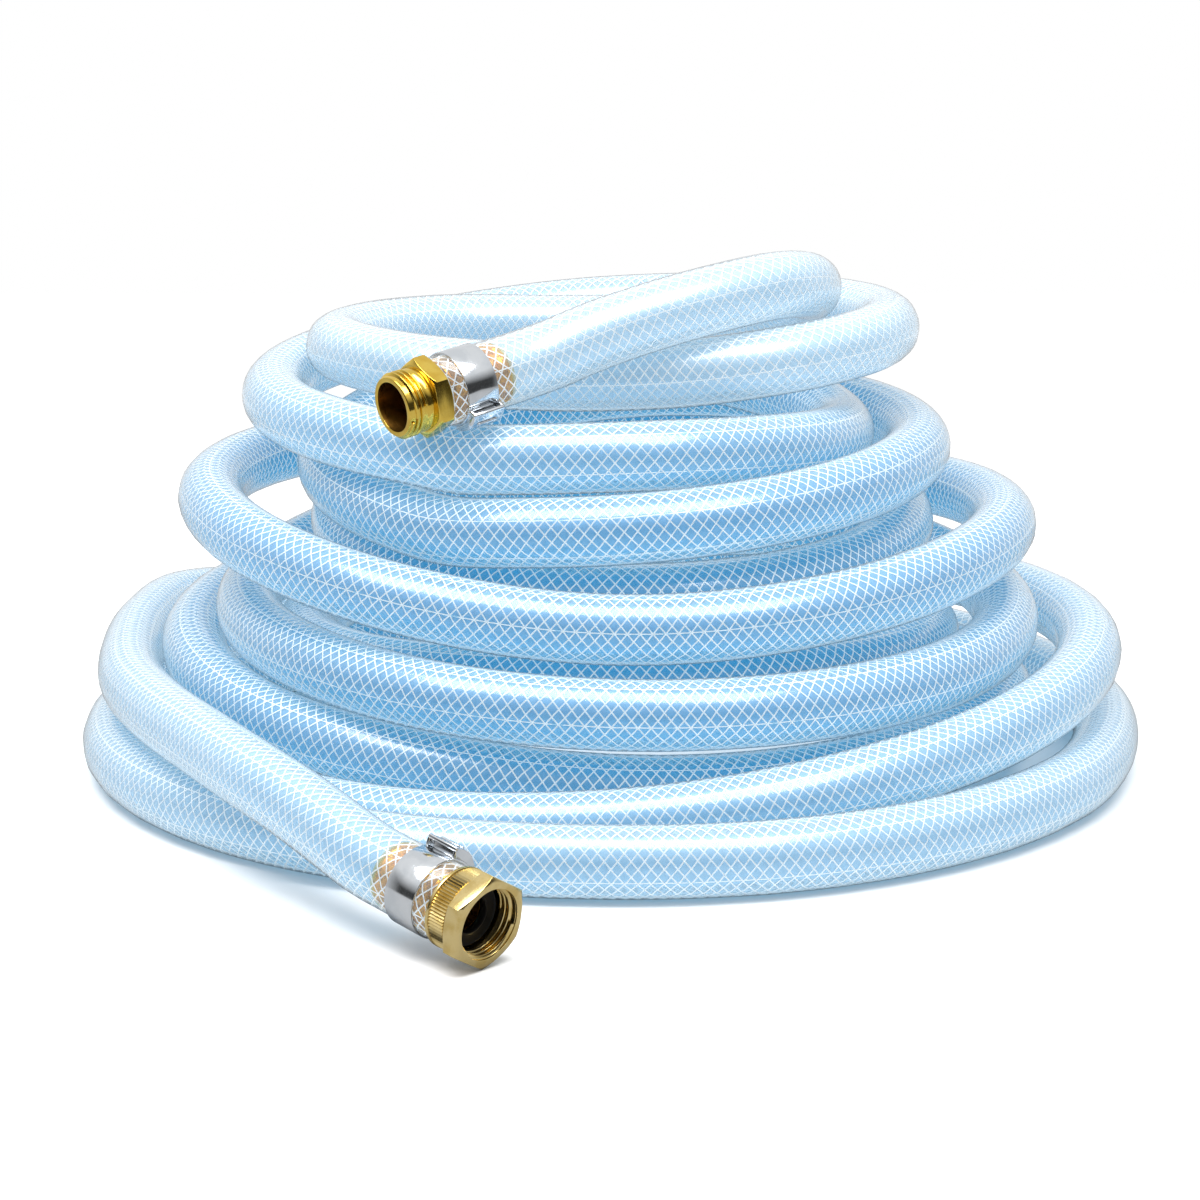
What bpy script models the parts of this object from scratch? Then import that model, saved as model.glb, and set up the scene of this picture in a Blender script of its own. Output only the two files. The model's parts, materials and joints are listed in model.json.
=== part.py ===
"""Clear braided garden hose, lying in a loose pile of turns, with a brass fitting clamped in each end.

Metres, +Z up. The hose lies on the floor at Z = 0. Z runs through the middle of the whole part, and
the pile's own axis stands PILE_BACK behind it, because the female end lies in front of the pile.
"""
import math

import bmesh
import bpy
import numpy as np
from mathutils import Matrix, Vector

# Hose: 3/4 inch heavy-wall PVC
HOSE_OD = 0.0286
HOSE_WALL = 0.00476
HOSE_SIDES_LEVEL = 2         # bevel resolution of the tube: eight sides
HOSE_STEP = 0.028            # distance between the tube's rings
ROUTE_STEP = 0.010           # distance between the points of its centre line

# Clearances
STRAND_GAP = 0.0009          # between one strand of the pile and the next, bends included
FLOOR_GAP = 0.0003
PIECE_GAP = 0.0003           # between pieces that touch

PILE_BACK = 0.027

# Turns of the pile, from the floor up. A row holds the distance of the hose's centre from the
# pile's axis at the right, front, left and back of the turn, and its height at those four places.
# The hose winds that way round, so each turn's back leads on to the right of the next.
TURNS = (
    (0.221, 0.213, 0.222, 0.206, 0.015, 0.015, 0.015, 0.045),
    (0.212, 0.185, 0.192, 0.183, 0.054, 0.021, 0.015, 0.020),
    (0.174, 0.156, 0.187, 0.184, 0.030, 0.027, 0.056, 0.068),
    (0.142, 0.136, 0.138, 0.146, 0.062, 0.066, 0.058, 0.068),
    (0.172, 0.169, 0.162, 0.172, 0.064, 0.0605, 0.072, 0.097),
    (0.173, 0.150, 0.178, 0.158, 0.108, 0.091, 0.121, 0.122),
    (0.128, 0.122, 0.120, 0.138, 0.106, 0.098, 0.111, 0.145),
    (0.134, 0.134, 0.124, 0.112, 0.143, 0.133, 0.138, 0.160),
    (0.100, 0.121, 0.148, 0.122, 0.149, 0.161, 0.167, 0.187),
    (0.120, 0.066, 0.122, None, 0.193, 0.184, 0.183, None),
)

# The female end leaves the pile over its left side and comes down to the floor in front of it.
# Angles are about +Z from +X, and up from the horizontal, of the way out of the hose's mouth.
FEMALE_MOUTH_XY = (-0.045, -0.296)
FEMALE_HEADING = math.radians(-43.6)
FEMALE_SLOPE = math.radians(-9.4)
FEMALE_LEAD = ((-0.118, -0.218, 0.037), (-0.137, -0.194, 0.0415), (-0.162, -0.152, 0.0435),
               (-0.189, -0.100, 0.044), (-0.208, -0.048, 0.044), (-0.216, 0.010, 0.044),
               (-0.216, 0.060, 0.044), (-0.205, 0.125, 0.042), (-0.150, 0.192, 0.030),
               (-0.060, 0.232, 0.016), (0.050, 0.235, 0.015), (0.150, 0.185, 0.015),
               (0.205, 0.100, 0.015))

# The male end crosses the top of the pile and points out over its front left.
MALE_MOUTH = (-0.088, -0.136, 0.178)
MALE_HEADING = math.radians(-143.1)
MALE_SLOPE = math.radians(-10.3)
MALE_LEAD = ((-0.113, 0.052, 0.182), (-0.078, 0.085, 0.181), (-0.030, 0.093, 0.180),
             (0.018, 0.087, 0.182), (0.057, 0.066, 0.190), (0.081, 0.030, 0.201),
             (0.084, -0.010, 0.210), (0.065, -0.048, 0.213), (0.030, -0.071, 0.207),
             (-0.005, -0.084, 0.199))
PILE_SPAN = 12               # points of the smooth line from one given point to the next
LEAD_SPAN = 24

# Barbed tail, alike on both fittings
BARB_LENGTH = 0.032
BARB_COUNT = 5
BARB_HEIGHT = 0.0004
BARB_FLAT = 0.35             # the part of each barb's pitch before its step
BARB_STEP = 0.10             # the part that its step takes
TAIL_WALL = 0.0009

# Hose clamps: a band, and the buckle that closes it
BAND_WIDTH = 0.0145
BAND_THICKNESS = 0.0007
BAND_SETBACK = 0.0065        # from the hose's cut end
BUCKLE_WIDTH = 0.0150
BUCKLE_HEIGHT = 0.0034
BUCKLE_TIP_HEIGHT = 0.0012
BUCKLE_SPAN = math.radians(46)
BUCKLE_STEPS = 6             # flats along its curved faces
BUCKLE_SLOPE_SHARE = 0.625   # the part of its span over which it rises
MALE_BUCKLE_TURN = math.radians(-62)
FEMALE_BUCKLE_TURN = math.radians(48)

# Garden hose thread, 11.5 turns an inch
THREAD_PITCH = 0.00221
THREAD_DEPTH = 0.0011
THREAD_OD = 0.0270
THREAD_FLANK = 0.3           # the part of the pitch that each flank takes

# Male fitting, from the hose's cut end outwards
MALE_HEX_STEP = 0.0010        # from the thread's crests out to the flats
MALE_HEX_LENGTH = 0.0075
MALE_NECK_LENGTH = 0.0026
MALE_NECK_DEPTH = 0.0012     # from the thread's crests in to the neck
MALE_THREAD_TURNS = 4
MALE_WALL = 0.0022           # from the thread's roots in to the bore
MALE_LIP = 0.0008

# Female swivel nut and the flanged tail that holds it
NUT_HEX_WALL = 0.002375      # from the thread's roots out to the flats
NUT_HEX_LENGTH = 0.0072
NUT_WALL = 0.0020            # from the thread's roots out to the sleeve
NUT_LIP_STEP = 0.0003
NUT_LIP_LENGTH = 0.0012
NUT_BACK_WALL = 0.0020
NUT_THREAD_TURNS = 4
NUT_LIP_GAP = 0.0008         # behind the nut, to the hose's cut end
HEX_CHAMFER = 0.0012
FLANGE_THICKNESS = 0.0024
FLANGE_RIM = 0.0022          # how far the flange reaches past the nut's back hole
WASHER_THICKNESS = 0.0030
WASHER_BORE_RADIUS = 0.0079

ROUND_SEGMENTS = 24
CUT_PAST = 0.001             # how far a cutter runs past what it cuts

HOSE_RADIUS = HOSE_OD / 2
BORE_FACET_RADIUS = HOSE_RADIUS * math.cos(math.pi / (2 * HOSE_SIDES_LEVEL + 4)) - HOSE_WALL
BARB_RADIUS = BORE_FACET_RADIUS - PIECE_GAP
TAIL_RADIUS = BARB_RADIUS - BARB_HEIGHT
TAIL_BORE_RADIUS = TAIL_RADIUS - TAIL_WALL
FACET_SLACK = 1 / math.cos(math.pi / ROUND_SEGMENTS)
THREAD_RADIUS = THREAD_OD / 2
MALE_LENGTH = (PIECE_GAP + MALE_HEX_LENGTH + MALE_NECK_LENGTH
               + MALE_THREAD_TURNS * THREAD_PITCH + MALE_LIP)
MALE_HEX_ACROSS = THREAD_OD + 2 * MALE_HEX_STEP
MALE_BORE_RADIUS = THREAD_RADIUS - THREAD_DEPTH - MALE_WALL
NUT_HEX_ACROSS = THREAD_OD + 2 * NUT_HEX_WALL
NUT_SLEEVE_RADIUS = THREAD_RADIUS + NUT_WALL
NUT_LIP_RADIUS = NUT_SLEEVE_RADIUS + NUT_LIP_STEP
NUT_CAVITY_RADIUS = THREAD_RADIUS
THREAD_MINOR_RADIUS = THREAD_RADIUS - THREAD_DEPTH
NUT_BACK = NUT_LIP_GAP
FLANGE_BACK = NUT_BACK + NUT_BACK_WALL + PIECE_GAP
WASHER_BACK = FLANGE_BACK + FLANGE_THICKNESS + PIECE_GAP
NUT_THREAD_START = WASHER_BACK + WASHER_THICKNESS + PIECE_GAP
NUT_FRONT = NUT_THREAD_START + NUT_THREAD_TURNS * THREAD_PITCH
FLANGE_RADIUS = NUT_CAVITY_RADIUS / FACET_SLACK - PIECE_GAP
NUT_HOLE_RADIUS = FLANGE_RADIUS - FLANGE_RIM
STEM_NECK_RADIUS = NUT_HOLE_RADIUS / FACET_SLACK - PIECE_GAP
BAND_RADIUS = HOSE_RADIUS * FACET_SLACK + PIECE_GAP
CLAMP_REACH = BAND_RADIUS + BAND_THICKNESS + BUCKLE_TIP_HEIGHT + 2 * PIECE_GAP


def heading_vector(heading, slope):
    """Unit vector at an angle about +Z and up from the horizontal."""
    return np.array([math.cos(heading) * math.cos(slope), math.sin(heading) * math.cos(slope),
                     math.sin(slope)])


def female_mouth():
    """Centre of the nut's front face, at the height where its lowest corner meets the floor."""
    corner = NUT_HEX_ACROSS / 2 / math.cos(math.pi / 6)
    height = corner * math.cos(FEMALE_SLOPE) + HEX_CHAMFER * math.sin(FEMALE_SLOPE)
    return np.array([FEMALE_MOUTH_XY[0], FEMALE_MOUTH_XY[1], height])


def straight_end(mouth, direction, fitting_length):
    """Centre points in line from a fitting's mouth to where the hose behind it starts to bend."""
    held = fitting_length + BARB_LENGTH
    depths = (0, fitting_length, held + HOSE_OD / 4, held + HOSE_OD / 2)
    return [mouth - direction * depth for depth in depths]


def smooth_through(points, per_span):
    """Points of a Catmull-Rom curve through the given points."""
    points = np.asarray(points, float)
    around = np.vstack([2 * points[0] - points[1], points, 2 * points[-1] - points[-2]])
    share = np.linspace(0, 1, per_span, endpoint=False)[:, None]
    spans = []
    for i in range(1, len(around) - 2):
        a, b, c, d = around[i - 1:i + 3]
        spans.append(0.5 * (2 * b + (c - a) * share + (2 * a - 5 * b + 4 * c - d) * share ** 2
                            + (3 * b - a - 3 * c + d) * share ** 3))
    return np.vstack(spans + [points[-1:]])


def evenly(points, step):
    """The same path with points an even distance apart."""
    run = np.concatenate([[0], np.cumsum(np.linalg.norm(np.diff(points, axis=0), axis=1))])
    at = np.linspace(0, run[-1], int(round(run[-1] / step)) + 1)
    return np.stack([np.interp(at, run, points[:, axis]) for axis in range(3)], axis=1)


def pile_of_turns():
    """The turns' centre line, clockwise seen from above, from the first row's right side."""
    rows = [[t + q / 4, row[q], row[q + 4]] for t, row in enumerate(TURNS) for q in range(4)
            if row[q] is not None]
    turn, radius, height = smooth_through(rows, PILE_SPAN).T
    angle = -2 * math.pi * turn
    return np.stack([radius * np.cos(angle), radius * np.sin(angle), height], axis=1)


def part_strands(path, reach, free, rounds=260, settling=40, strength=0.8, own_reaches=4.4):
    """Push strands apart until no two are nearer than their reaches, and spread each push along.

    `reach` is each point's own radius with its clearance. A point where `free` is 0 stays put.
    The last `settling` rounds push without smoothing. Points nearer than `own_reaches` along the
    path belong to the same strand.
    """
    spacing = np.linalg.norm(np.diff(path, axis=0), axis=1).mean()
    along = int(math.ceil(own_reaches * reach.max() / spacing))
    moved = np.zeros_like(path)
    now = path.copy()
    for k in range(rounds):
        if k % 20 == 0:
            squared = ((now[:, None] - now[None]) ** 2).sum(-1)
            first, second = np.nonzero(np.triu(squared < (3 * reach.max()) ** 2, along))
        between = now[first] - now[second]
        distance = np.linalg.norm(between, axis=1)
        short = np.maximum(reach[first] + reach[second] - distance, 0)
        half = between / np.maximum(distance, 1e-9)[:, None] * (strength * short)[:, None]
        push = np.zeros_like(path)
        shared = np.zeros(len(path))
        np.add.at(push, first, half)
        np.add.at(push, second, -half)
        np.add.at(shared, first, short > 0)
        np.add.at(shared, second, short > 0)
        push /= np.maximum(shared, 1)[:, None]
        easing = k < rounds - settling
        for _ in range(3 if easing else 1):
            push[1:-1] = 0.5 * push[1:-1] + 0.25 * (push[:-2] + push[2:])
        moved += push
        if easing:
            moved[1:-1] = 0.5 * moved[1:-1] + 0.25 * (moved[:-2] + moved[2:])
        moved *= free[:, None]
        moved[:, 2] += np.maximum(HOSE_RADIUS + FLOOR_GAP - (path + moved)[:, 2], 0)
        now = path + moved
    return now


def hose_route():
    """Centre line of the hose, from its cut end in the female fitting to that in the male one."""
    female = heading_vector(FEMALE_HEADING, FEMALE_SLOPE)
    male = heading_vector(MALE_HEADING, MALE_SLOPE)
    pile = pile_of_turns()
    first = straight_end(female_mouth(), female, NUT_FRONT)
    last = straight_end(np.array(MALE_MOUTH), male, MALE_LENGTH)
    # each lead shares three points with the pile, and its last span there only gives its direction
    lead_in = smooth_through(first + list(FEMALE_LEAD) + list(pile[[0, 4, 8]]), LEAD_SPAN)
    lead_out = smooth_through(list(pile[[-9, -5, -1]]) + list(MALE_LEAD) + last[::-1], LEAD_SPAN)
    whole = np.vstack([lead_in[:-LEAD_SPAN], pile[5:-5], lead_out[LEAD_SPAN:]])
    path = evenly(whole, ROUTE_STEP)

    # the fittings and clamps reach further than the hose, and stay where they are
    run = np.concatenate([[0], np.cumsum(np.linalg.norm(np.diff(path, axis=0), axis=1))])
    past_female = run - NUT_FRONT
    past_male = run[-1] - run - MALE_LENGTH
    past_clamp = np.minimum(past_female, past_male) - BARB_LENGTH
    wide = CLAMP_REACH - HOSE_RADIUS - STRAND_GAP / 2
    reach = HOSE_RADIUS + STRAND_GAP / 2 + wide * np.clip(1 - past_clamp / HOSE_OD, 0, 1)
    free = np.clip((past_clamp - HOSE_OD / 4) / HOSE_OD, 0, 1)
    path = part_strands(path, reach, free)
    inside = (past_female > 0) & (past_male > 0)
    return np.vstack([first[1], path[inside], last[1]]) + [0, PILE_BACK, 0]


def end_frame(cut, inner):
    """Matrix of a hose end: origin at the cut, Z out of the hose along its axis, Y upwards."""
    out = Vector(cut - inner).normalized()
    side = Vector((0, 0, 1)).cross(out).normalized()
    up = out.cross(side)
    return Matrix.Translation(Vector(cut)) @ Matrix((side, up, out)).transposed().to_4x4()


def material(name, colour, roughness, metallic=0.0, alpha=1.0):
    """A Principled BSDF material."""
    made = bpy.data.materials.new(name)
    made.use_nodes = True
    shader = made.node_tree.nodes["Principled BSDF"]
    shader.inputs["Base Color"].default_value = (*colour, 1)
    shader.inputs["Roughness"].default_value = roughness
    shader.inputs["Metallic"].default_value = metallic
    shader.inputs["Alpha"].default_value = alpha
    made.diffuse_color = (*colour, alpha)
    return made


def add_object(name, data, collection, frame=None, finish=None):
    """Put a mesh or curve in a collection, at a frame."""
    made = bpy.data.objects.new(name, data)
    collection.objects.link(made)
    if frame is not None:
        made.matrix_world = frame
    if finish is not None:
        data.materials.append(finish)
    return made


def turned(name, profile, collection, frame, finish=None):
    """A solid turned about local Z from (radius, height) points that run down its outer side."""
    mesh = bpy.data.meshes.new(name)
    shape = bmesh.new()
    corners = [shape.verts.new((radius, 0, height)) for radius, height in profile]
    for here, there in zip(corners, corners[1:] + corners[:1]):
        if here.co.x > 0 or there.co.x > 0:
            shape.edges.new((here, there))
    shape.to_mesh(mesh)
    shape.free()
    made = add_object(name, mesh, collection, frame, finish)
    screw = made.modifiers.new("Turn", "SCREW")
    screw.axis = "Z"
    screw.steps = ROUND_SEGMENTS
    screw.render_steps = ROUND_SEGMENTS
    screw.use_merge_vertices = True
    screw.merge_threshold = 0.00001
    screw.use_smooth_shade = False
    return made


def hexagon(name, across, start, end, collection, frame):
    """A hexagonal prism along local Z with a corner pointing down."""
    mesh = bpy.data.meshes.new(name)
    shape = bmesh.new()
    corner = across / 2 / math.cos(math.pi / 6)
    middle = Matrix.Translation((0, 0, (start + end) / 2))
    bmesh.ops.create_cone(shape, cap_ends=True, segments=6, radius1=corner, radius2=corner,
                          depth=end - start, matrix=middle)
    shape.to_mesh(mesh)
    shape.free()
    return add_object(name, mesh, collection, frame)


def boolean(target, tool, operation):
    """Join, cut or trim a solid with another, which stays behind as a wire guide."""
    modifier = target.modifiers.new(tool.name, "BOOLEAN")
    modifier.object = tool
    modifier.operation = operation
    modifier.solver = "EXACT"
    tool.hide_render = True
    tool.display_type = "WIRE"


def thread_crests(start, turns, crest, root):
    """(radius, height) points of a thread as rings, from its front end back."""
    points = []
    for k in range(turns):
        front = start + (turns - k) * THREAD_PITCH
        flank = THREAD_FLANK * THREAD_PITCH
        points += [(root, front), (crest, front - flank), (crest, front - THREAD_PITCH + flank)]
    return points + [(root, start)]


def barbs():
    """(radius, height) points of the barbed tail, from the hose's cut end inwards."""
    pitch = BARB_LENGTH / BARB_COUNT
    points = []
    for k in range(BARB_COUNT):
        top = -k * pitch
        edge = top - BARB_FLAT * pitch
        points += [(TAIL_RADIUS, edge), (BARB_RADIUS, edge - BARB_STEP * pitch),
                   (TAIL_RADIUS, top - pitch)]
    return points


def make_hose(route, collection, finish):
    """The hose: a tube curve along the route, and its wall inwards by Solidify."""
    curve = bpy.data.curves.new("hose", "CURVE")
    curve.dimensions = "3D"
    curve.bevel_depth = HOSE_RADIUS
    curve.bevel_resolution = HOSE_SIDES_LEVEL
    curve.use_fill_caps = False
    curve.twist_mode = "MINIMUM"
    points = evenly(route, HOSE_STEP)
    spline = curve.splines.new("POLY")
    spline.points.add(len(points) - 1)
    for place, point in zip(spline.points, points):
        place.co = (*point, 1)
    made = add_object("hose", curve, collection, finish=finish)
    wall = made.modifiers.new("Wall", "SOLIDIFY")
    wall.thickness = HOSE_WALL
    wall.offset = -1
    wall.use_even_offset = True
    return made


def make_male_fitting(frame, parts, cutters, brass):
    """Barbed tail, hexagon, neck and external thread, turned from one bar, with a bore through."""
    hex_start = PIECE_GAP
    hex_end = hex_start + MALE_HEX_LENGTH
    thread_start = hex_end + MALE_NECK_LENGTH
    root = THREAD_MINOR_RADIUS
    neck = THREAD_RADIUS - MALE_NECK_DEPTH
    profile = [(0, MALE_LENGTH), (root, MALE_LENGTH)]
    profile += thread_crests(thread_start, MALE_THREAD_TURNS, THREAD_RADIUS, root)
    inside_hex = (hex_start + hex_end) / 2
    profile += [(neck, thread_start - THREAD_PITCH / 10), (neck, inside_hex)]
    profile += [(TAIL_RADIUS, inside_hex)] + barbs() + [(0, -BARB_LENGTH)]
    body = turned("male_fitting", profile, parts, frame, brass)
    boolean(body, chamfered_hex("male_hex", MALE_HEX_ACROSS, hex_start, hex_end, cutters, frame), "UNION")
    # the wide bore runs down to a cone that ends inside the hexagon
    cone_end = hex_start + TAIL_WALL
    cone_start = cone_end + MALE_BORE_RADIUS - TAIL_BORE_RADIUS
    top = MALE_LENGTH + CUT_PAST
    bottom = -BARB_LENGTH - CUT_PAST
    bore = [(0, top), (MALE_BORE_RADIUS, top), (MALE_BORE_RADIUS, cone_start),
            (TAIL_BORE_RADIUS, cone_end), (TAIL_BORE_RADIUS, bottom), (0, bottom)]
    boolean(body, turned("male_bore", bore, cutters, frame), "DIFFERENCE")
    return body


def chamfered_hex(name, across, start, end, cutters, frame):
    """A hexagon whose corners are turned off at both ends."""
    corner = across / 2 / math.cos(math.pi / 6)
    rim = corner - 2 * HEX_CHAMFER
    drop = HEX_CHAMFER + CUT_PAST / 2
    trim = [(0, end), (rim, end), (corner + CUT_PAST, end - drop),
            (corner + CUT_PAST, start + drop), (rim, start), (0, start)]
    prism = hexagon(name, across, start, end, cutters, frame)
    half_facet = Matrix.Rotation(math.pi / ROUND_SEGMENTS, 4, "Z")
    boolean(prism, turned(name + "_trim", trim, cutters, frame @ half_facet), "INTERSECT")
    return prism


def make_stem(frame, parts, cutters, brass):
    """The tail that is clamped in the hose, with the flange that the nut turns on."""
    front = FLANGE_BACK + FLANGE_THICKNESS
    profile = [(0, front), (FLANGE_RADIUS, front), (FLANGE_RADIUS, FLANGE_BACK),
               (STEM_NECK_RADIUS, FLANGE_BACK), (STEM_NECK_RADIUS, PIECE_GAP), (TAIL_RADIUS, PIECE_GAP)]
    profile += barbs() + [(0, -BARB_LENGTH)]
    body = turned("female_stem", profile, parts, frame, brass)
    top = front + CUT_PAST
    bottom = -BARB_LENGTH - CUT_PAST
    bore = [(0, top), (TAIL_BORE_RADIUS, top), (TAIL_BORE_RADIUS, bottom), (0, bottom)]
    boolean(body, turned("stem_bore", bore, cutters, frame), "DIFFERENCE")
    return body


def make_nut(frame, parts, cutters, brass):
    """The swivel nut: hexagon in front, sleeve and lip behind, internal thread."""
    hex_start = NUT_FRONT - NUT_HEX_LENGTH
    inside_hex = NUT_FRONT - HEX_CHAMFER
    lip_front = NUT_BACK + NUT_LIP_LENGTH
    profile = [(0, inside_hex), (NUT_SLEEVE_RADIUS, inside_hex), (NUT_SLEEVE_RADIUS, lip_front),
               (NUT_LIP_RADIUS, lip_front), (NUT_LIP_RADIUS, NUT_BACK), (0, NUT_BACK)]
    body = turned("swivel_nut", profile, parts, frame, brass)
    boolean(body, chamfered_hex("nut_hex", NUT_HEX_ACROSS, hex_start, NUT_FRONT, cutters, frame), "UNION")
    top = NUT_FRONT + CUT_PAST
    bottom = NUT_BACK - CUT_PAST
    floor = NUT_BACK + NUT_BACK_WALL
    inside = [(0, top), (THREAD_MINOR_RADIUS, top)]
    inside += thread_crests(NUT_THREAD_START, NUT_THREAD_TURNS, NUT_CAVITY_RADIUS, THREAD_MINOR_RADIUS)
    inside += [(NUT_CAVITY_RADIUS, NUT_THREAD_START - PIECE_GAP / 3), (NUT_CAVITY_RADIUS, floor),
               (NUT_HOLE_RADIUS, floor), (NUT_HOLE_RADIUS, bottom), (0, bottom)]
    boolean(body, turned("nut_inside", inside, cutters, frame), "DIFFERENCE")
    return body


def make_washer(frame, parts, rubber):
    """The rubber ring that lies on the flange, small enough to pass the nut's thread."""
    outer = THREAD_MINOR_RADIUS / FACET_SLACK - PIECE_GAP
    top = WASHER_BACK + WASHER_THICKNESS
    profile = [(WASHER_BORE_RADIUS, top), (outer, top), (outer, WASHER_BACK),
               (WASHER_BORE_RADIUS, WASHER_BACK)]
    return turned("sealing_washer", profile, parts, frame, rubber)


def make_band(name, frame, parts, steel):
    """The clamp's band, round the hose over the barbs."""
    outer = BAND_RADIUS + BAND_THICKNESS
    front = -BAND_SETBACK
    back = front - BAND_WIDTH
    profile = [(BAND_RADIUS, front), (outer, front), (outer, back), (BAND_RADIUS, back)]
    return turned(name, profile, parts, frame, steel)


def make_buckle(name, frame, turn, parts, steel):
    """The clamp's buckle: a wedge seated on the band, tall at its slot and low at its tip."""
    seat = BAND_RADIUS + BAND_THICKNESS + PIECE_GAP
    shares = [k / BUCKLE_STEPS for k in range(BUCKLE_STEPS + 1)]
    underside = [(seat, share) for share in shares]
    rise = BUCKLE_HEIGHT - BUCKLE_TIP_HEIGHT
    top = [(seat + BUCKLE_TIP_HEIGHT + rise * min(1, share / BUCKLE_SLOPE_SHARE), share)
           for share in reversed(shares)]
    outline = []
    for radius, share in underside + top:
        angle = turn + BUCKLE_SPAN * (share - 0.5)
        outline.append((radius * math.cos(angle), radius * math.sin(angle)))
    curve = bpy.data.curves.new(name, "CURVE")
    curve.dimensions = "2D"
    curve.fill_mode = "BOTH"
    curve.extrude = BUCKLE_WIDTH / 2
    spline = curve.splines.new("POLY")
    spline.points.add(len(outline) - 1)
    spline.use_cyclic_u = True
    for place, (x, y) in zip(spline.points, outline):
        place.co = (x, y, 0, 1)
    middle = Matrix.Translation((0, 0, -BAND_SETBACK - BAND_WIDTH / 2))
    return add_object(name, curve, parts, frame @ middle, steel)


def main():
    """Build the hose and its fittings in one collection, with their cutters in another."""
    for old in list(bpy.data.objects):
        bpy.data.objects.remove(old)
    parts = bpy.data.collections.new("clear_hose")
    cutters = bpy.data.collections.new("cutters")
    bpy.context.scene.collection.children.link(parts)
    bpy.context.scene.collection.children.link(cutters)

    pvc = material("Clear PVC", (0.55, 0.76, 0.93), 0.15, alpha=0.55)
    brass = material("Brass", (0.78, 0.57, 0.20), 0.22, metallic=1.0)
    steel = material("Polished steel", (0.72, 0.74, 0.77), 0.18, metallic=1.0)
    rubber = material("Black rubber", (0.015, 0.015, 0.017), 0.6)

    route = hose_route()
    make_hose(route, parts, pvc)

    female = end_frame(route[0], route[3])
    make_stem(female, parts, cutters, brass)
    make_nut(female, parts, cutters, brass)
    make_washer(female, parts, rubber)
    make_band("female_clamp_band", female, parts, steel)
    make_buckle("female_clamp_buckle", female, FEMALE_BUCKLE_TURN, parts, steel)

    male = end_frame(route[-1], route[-4])
    make_male_fitting(male, parts, cutters, brass)
    make_band("male_clamp_band", male, parts, steel)
    make_buckle("male_clamp_buckle", male, MALE_BUCKLE_TURN, parts, steel)


main()
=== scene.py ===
import json
import math

import bpy
import numpy as np
from mathutils import Matrix, Vector

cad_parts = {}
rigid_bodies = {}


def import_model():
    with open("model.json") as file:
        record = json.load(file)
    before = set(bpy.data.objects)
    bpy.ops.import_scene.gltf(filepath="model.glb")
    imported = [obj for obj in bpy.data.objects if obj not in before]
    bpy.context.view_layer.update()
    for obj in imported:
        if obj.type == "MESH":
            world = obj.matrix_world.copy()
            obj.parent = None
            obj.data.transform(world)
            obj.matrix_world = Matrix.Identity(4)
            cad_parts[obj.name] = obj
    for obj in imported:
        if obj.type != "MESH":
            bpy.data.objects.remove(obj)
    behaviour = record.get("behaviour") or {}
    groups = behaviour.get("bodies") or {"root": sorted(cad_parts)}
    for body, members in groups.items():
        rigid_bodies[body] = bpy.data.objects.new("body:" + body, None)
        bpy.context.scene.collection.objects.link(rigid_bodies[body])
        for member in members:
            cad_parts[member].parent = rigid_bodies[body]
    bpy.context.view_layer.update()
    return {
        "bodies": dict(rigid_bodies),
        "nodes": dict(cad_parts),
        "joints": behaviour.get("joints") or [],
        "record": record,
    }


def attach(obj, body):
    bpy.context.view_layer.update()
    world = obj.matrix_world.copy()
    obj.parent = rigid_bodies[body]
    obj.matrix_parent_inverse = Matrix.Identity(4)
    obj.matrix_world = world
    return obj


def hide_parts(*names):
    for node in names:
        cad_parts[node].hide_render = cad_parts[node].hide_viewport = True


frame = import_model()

# Camera: a long lens at table height, a little above the pile, as the photograph was taken. Its
# place was worked out from the turn that lies on the floor.
CAMERA_AIM = Vector((-0.006, 0.027, 0.070))
CAMERA_DISTANCE = 1.334
CAMERA_PITCH = math.radians(12.5)
CAMERA_LENS = 89.55          # on a 36 mm sensor

bpy.ops.object.select_all(action="DESELECT")
camera_back = Vector((0, -math.cos(CAMERA_PITCH), math.sin(CAMERA_PITCH)))
bpy.ops.object.camera_add(location=CAMERA_AIM + camera_back * CAMERA_DISTANCE)
camera = bpy.context.object
camera.rotation_mode = "QUATERNION"
camera.rotation_quaternion = (-camera_back).to_track_quat("-Z", "Y")
camera.data.lens = CAMERA_LENS
camera.data.sensor_width = 36
bpy.context.scene.camera = camera


# Hose route: the centre line of one eleven metre length of hose, thrown down in a loose pile. It is
# the line that the solid hose follows, from the female fitting to the male one.
HOSE_OD = 0.0286             # 3/4 inch bore, heavy wall
HOSE_RADIUS = HOSE_OD / 2
HOSE_WALL = 0.00476
STRAND_GAP = 0.0009
PILE_BACK = 0.027
# a row is one turn: the centre's distance from the pile's axis at its right, front, left and
# back, and its height at those four places
TURNS = (
    (0.221, 0.213, 0.222, 0.206, 0.015, 0.015, 0.015, 0.045),
    (0.212, 0.185, 0.192, 0.183, 0.054, 0.021, 0.015, 0.020),
    (0.174, 0.156, 0.187, 0.184, 0.030, 0.027, 0.056, 0.068),
    (0.142, 0.136, 0.138, 0.146, 0.062, 0.066, 0.058, 0.068),
    (0.172, 0.169, 0.162, 0.172, 0.064, 0.0605, 0.072, 0.097),
    (0.173, 0.150, 0.178, 0.158, 0.108, 0.091, 0.121, 0.122),
    (0.128, 0.122, 0.120, 0.138, 0.106, 0.098, 0.111, 0.145),
    (0.134, 0.134, 0.124, 0.112, 0.143, 0.133, 0.138, 0.160),
    (0.100, 0.121, 0.148, 0.122, 0.149, 0.161, 0.167, 0.187),
    (0.120, 0.066, 0.122, None, 0.193, 0.184, 0.183, None),
)
FEMALE_MOUTH = (-0.045, -0.296, 0.017889)
FEMALE_HEADING = math.radians(-43.6)
FEMALE_SLOPE = math.radians(-9.4)
FEMALE_LENGTH = 0.01794
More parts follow.
